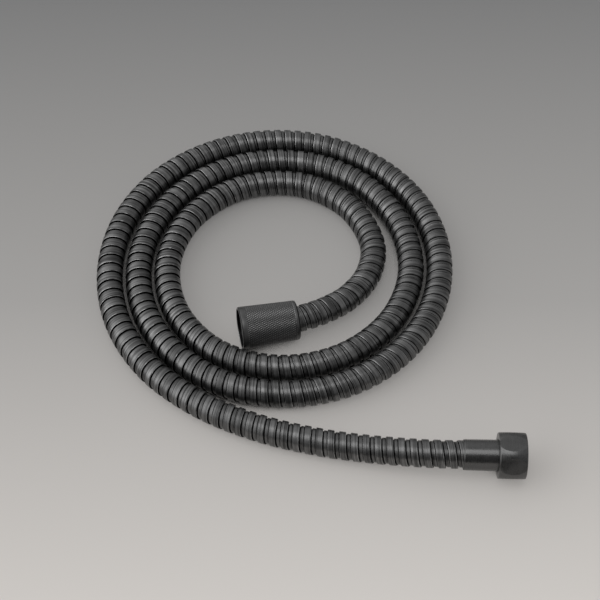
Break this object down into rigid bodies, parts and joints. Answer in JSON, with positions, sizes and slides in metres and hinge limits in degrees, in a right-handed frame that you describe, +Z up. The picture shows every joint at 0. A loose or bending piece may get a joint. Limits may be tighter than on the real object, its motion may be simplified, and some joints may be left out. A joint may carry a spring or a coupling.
{
  "type": "shower hose",
  "caption": "Interlocked metal shower hose lying in a loose spiral, with a hexagonal union nut on a plain sleeve at one end and a conical knurled union nut at the other.",
  "frame": {"origin": "centre of the bounding box in plan, on the surface the hose lies on", "axes": "+Z up; +X towards the open face of the hexagonal nut, as seen on the right in the picture; +Y away from the viewer, the spiral's longest way across"},
  "size_m": [0.219, 0.2308, 0.0225],
  "materials": {
    "hose_casing": "matt black wound strip",
    "inner_tube": "smooth",
    "hex_nut": "matt black",
    "cone_nut": "matt black, knurled",
    "sleeves": "matt black",
    "inserts": "turned",
    "washers": "matt"
  },
  "bodies": {
    "hose": {"hose_casing": "hose_casing", "inner_tube": "inner_tube", "hex_end_sleeve": "sleeves", "hex_end_insert": "inserts", "cone_end_ferrule": "sleeves", "cone_end_insert": "inserts"},
    "hex_nut": {"hex_nut": "hex_nut", "hex_end_washer": "washers"},
    "cone_nut": {"cone_nut": "cone_nut", "cone_end_washer": "washers"}
  },
  "joints": [
    {"name": "hex_nut_spin", "type": "hinge", "parent": "hose", "child": "hex_nut", "pos_m": [0.1092, -0.1035, 0.01125], "axis": [0.9996, -0.0279, 0], "continuous": true},
    {"name": "cone_nut_spin", "type": "hinge", "parent": "hose", "child": "cone_nut", "pos_m": [-0.0321, -0.0265, 0.0112], "axis": [-0.9788, -0.2027, 0.028], "continuous": true}
  ]
}
